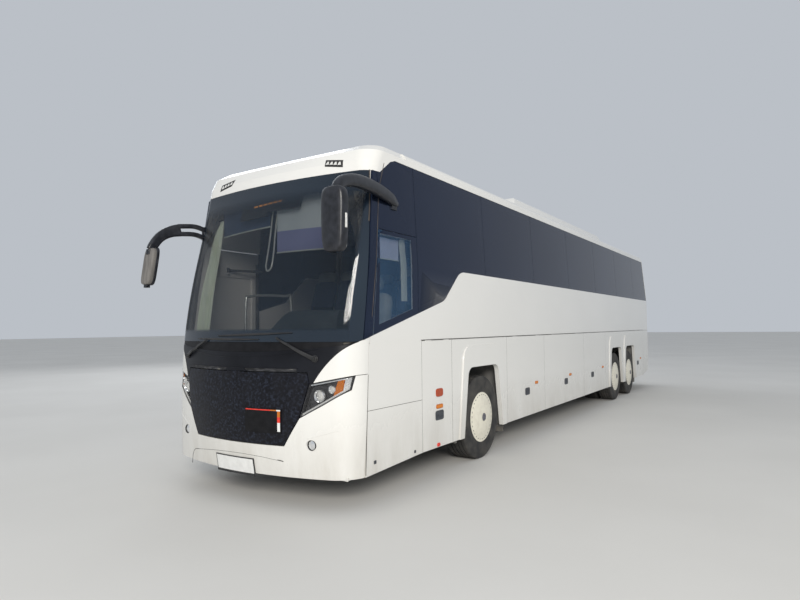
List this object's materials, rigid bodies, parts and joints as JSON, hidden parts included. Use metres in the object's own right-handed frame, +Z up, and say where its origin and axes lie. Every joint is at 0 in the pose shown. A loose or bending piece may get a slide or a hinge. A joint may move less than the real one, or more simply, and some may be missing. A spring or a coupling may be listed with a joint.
{
  "type": "coach bus",
  "caption": "Three-axle touring coach with steered front wheels, twin drive wheels, swing-out doors, lifting luggage flaps, front service lid and engine lid.",
  "frame": {"origin": "on the road under the middle of the coach's box", "axes": "+X to the coach's left, +Y to its rear, +Z up"},
  "size_m": [3.058, 13.87, 3.7998],
  "materials": {
    "white_paint": "gloss",
    "black_gloss": "gloss",
    "dark_frame": "satin",
    "cast_metal": "matte",
    "grey_liner": "matte",
    "tinted_glass": "polished",
    "clear_glass": "polished",
    "lamp_lens": "polished",
    "red_lens": "gloss",
    "black_plastic": "satin",
    "dash_plastic": "matte",
    "seat_cloth": "matte",
    "tyre": "matte",
    "wheel_disc": "satin"
  },
  "bodies": {
    "body": {"front_frame": "dark_frame", "underframe": "dark_frame", "luggage_hold": "grey_liner", "passenger_floor": "grey_liner", "left_side_panel": "white_paint", "right_side_panel": "white_paint", "roof_shell": "white_paint", "front_cap": "white_paint", "air_conditioner": "white_paint", "windscreen": "clear_glass", "wiper_panel": "black_gloss", "front_corner_panels": "white_paint", "front_bumper": "white_paint", "headlights": "lamp_lens", "left_windows": "tinted_glass", "right_windows": "tinted_glass", "lower_side_panels": "white_paint", "wheelhouses": "grey_liner", "front_axle": "dark_frame", "drive_axle": "dark_frame", "tag_axle": "dark_frame", "engine": "cast_metal", "rear_panel": "white_paint", "rear_window": "tinted_glass", "tail_lamps": "red_lens", "rear_bumper": "white_paint", "mirrors": "black_plastic", "wipers": "black_plastic", "dashboard": "dash_plastic", "seats": "seat_cloth", "luggage_racks": "dash_plastic"},
    "knuckle_left": {"knuckle_left": "cast_metal"},
    "knuckle_right": {"knuckle_right": "cast_metal"},
    "track_rod": {"track_rod": "dark_frame"},
    "front_wheel_left": {"tyre_front_left": "tyre", "wheel_front_left": "wheel_disc"},
    "front_wheel_right": {"tyre_front_right": "tyre", "wheel_front_right": "wheel_disc"},
    "drive_wheel_left": {"tyre_drive_left": "tyre", "wheel_drive_left": "wheel_disc"},
    "drive_wheel_right": {"tyre_drive_right": "tyre", "wheel_drive_right": "wheel_disc"},
    "tag_wheel_left": {"tyre_tag_left": "tyre", "wheel_tag_left": "wheel_disc"},
    "tag_wheel_right": {"tyre_tag_right": "tyre", "wheel_tag_right": "wheel_disc"},
    "service_flap_left": {"service_flap_left": "white_paint"},
    "luggage_flap_left_1": {"luggage_flap_left_1": "white_paint"},
    "luggage_flap_left_2": {"luggage_flap_left_2": "white_paint"},
    "luggage_flap_left_3": {"luggage_flap_left_3": "white_paint"},
    "rear_service_door_left": {"rear_service_door_left": "white_paint"},
    "luggage_flap_right_1": {"luggage_flap_right_1": "white_paint"},
    "luggage_flap_right_2": {"luggage_flap_right_2": "white_paint"},
    "rear_service_door_right": {"rear_service_door_right": "white_paint"},
    "front_lid": {"front_lid": "black_gloss"},
    "engine_lid": {"engine_lid": "white_paint"},
    "front_door_arm": {"front_door_arm": "dark_frame"},
    "front_door": {"front_door": "white_paint"},
    "middle_door_arm": {"middle_door_arm": "dark_frame"},
    "middle_door": {"middle_door": "white_paint"}
  },
  "joints": [
    {"name": "steer_left", "type": "hinge", "parent": "body", "child": "knuckle_left", "pos_m": [0.93, -3.785, 0.522], "axis": [0, 0, 1], "range_deg": [-40, 40]},
    {"name": "steer_right", "type": "hinge", "parent": "body", "child": "knuckle_right", "pos_m": [-0.93, -3.785, 0.522], "axis": [0, 0, 1], "range_deg": [-40, 40]},
    {"name": "track_rod_turn", "type": "hinge", "parent": "knuckle_left", "child": "track_rod", "pos_m": [0.93, -3.52, 0.391], "axis": [0, 0, 1], "range_deg": [-40, 40]},
    {"name": "front_wheel_left", "type": "hinge", "parent": "knuckle_left", "child": "front_wheel_left", "pos_m": [1.1, -3.785, 0.522], "axis": [1, 0, 0], "continuous": true},
    {"name": "front_wheel_right", "type": "hinge", "parent": "knuckle_right", "child": "front_wheel_right", "pos_m": [-1.1, -3.785, 0.522], "axis": [1, 0, 0], "continuous": true},
    {"name": "drive_wheel_left", "type": "hinge", "parent": "body", "child": "drive_wheel_left", "pos_m": [1.1, 3.125, 0.522], "axis": [1, 0, 0], "continuous": true},
    {"name": "drive_wheel_right", "type": "hinge", "parent": "body", "child": "drive_wheel_right", "pos_m": [-1.1, 3.125, 0.522], "axis": [1, 0, 0], "continuous": true},
    {"name": "tag_wheel_left", "type": "hinge", "parent": "body", "child": "tag_wheel_left", "pos_m": [1.1, 4.475, 0.522], "axis": [1, 0, 0], "continuous": true},
    {"name": "tag_wheel_right", "type": "hinge", "parent": "body", "child": "tag_wheel_right", "pos_m": [-1.1, 4.475, 0.522], "axis": [1, 0, 0], "continuous": true},
    {"name": "service_flap_left_lift", "type": "hinge", "parent": "body", "child": "service_flap_left", "pos_m": [1.275, -4.957, 1.5295], "axis": [0, -1, 0], "range_deg": [0, 95]},
    {"name": "luggage_flap_left_1_lift", "type": "hinge", "parent": "body", "child": "luggage_flap_left_1", "pos_m": [1.275, -2.2825, 1.5295], "axis": [0, -1, 0], "range_deg": [0, 95]},
    {"name": "luggage_flap_left_2_lift", "type": "hinge", "parent": "body", "child": "luggage_flap_left_2", "pos_m": [1.275, -0.452, 1.5295], "axis": [0, -1, 0], "range_deg": [0, 95]},
    {"name": "luggage_flap_left_3_lift", "type": "hinge", "parent": "body", "child": "luggage_flap_left_3", "pos_m": [1.275, 1.418, 1.5295], "axis": [0, -1, 0], "range_deg": [0, 95]},
    {"name": "rear_service_door_left_lift", "type": "hinge", "parent": "body", "child": "rear_service_door_left", "pos_m": [1.275, 5.575, 1.5295], "axis": [0, -1, 0], "range_deg": [0, 95]},
    {"name": "luggage_flap_right_1_lift", "type": "hinge", "parent": "body", "child": "luggage_flap_right_1", "pos_m": [-1.275, -2.2825, 1.5295], "axis": [0, 1, 0], "range_deg": [0, 95]},
    {"name": "luggage_flap_right_2_lift", "type": "hinge", "parent": "body", "child": "luggage_flap_right_2", "pos_m": [-1.275, -0.452, 1.5295], "axis": [0, 1, 0], "range_deg": [0, 95]},
    {"name": "rear_service_door_right_lift", "type": "hinge", "parent": "body", "child": "rear_service_door_right", "pos_m": [-1.275, 5.575, 1.5295], "axis": [0, 1, 0], "range_deg": [0, 95]},
    {"name": "front_lid_lift", "type": "hinge", "parent": "body", "child": "front_lid", "pos_m": [0, -6.743, 1.2657], "axis": [-1, 0, 0], "range_deg": [0, 60]},
    {"name": "engine_lid_lift", "type": "hinge", "parent": "body", "child": "engine_lid", "pos_m": [0, 6.887, 1.9765], "axis": [1, 0, 0], "range_deg": [0, 70]},
    {"name": "front_door_swing", "type": "hinge", "parent": "body", "child": "front_door_arm", "pos_m": [-1.175, -5.355, 1.2], "axis": [0, 0, -1], "range_deg": [0, 156.67]},
    {"name": "front_door_turn", "type": "hinge", "parent": "front_door_arm", "child": "front_door", "pos_m": [-1.2, -5.80431, 1.2], "axis": [0, 0, -1], "range_deg": [-156.67, 0]},
    {"name": "middle_door_swing", "type": "hinge", "parent": "body", "child": "middle_door_arm", "pos_m": [-1.175, 1.5, 1.2], "axis": [0, 0, -1], "range_deg": [0, 154.29]},
    {"name": "middle_door_turn", "type": "hinge", "parent": "middle_door_arm", "child": "middle_door", "pos_m": [-1.2, 1.09076, 1.2], "axis": [0, 0, -1], "range_deg": [-154.29, 0]}
  ],
  "couplings": [
    {"joint": "steer_right", "follows": "steer_left", "ratio": 1},
    {"joint": "track_rod_turn", "follows": "steer_left", "ratio": -1},
    {"joint": "front_door_turn", "follows": "front_door_swing", "ratio": -1},
    {"joint": "middle_door_turn", "follows": "middle_door_swing", "ratio": -1}
  ]
}
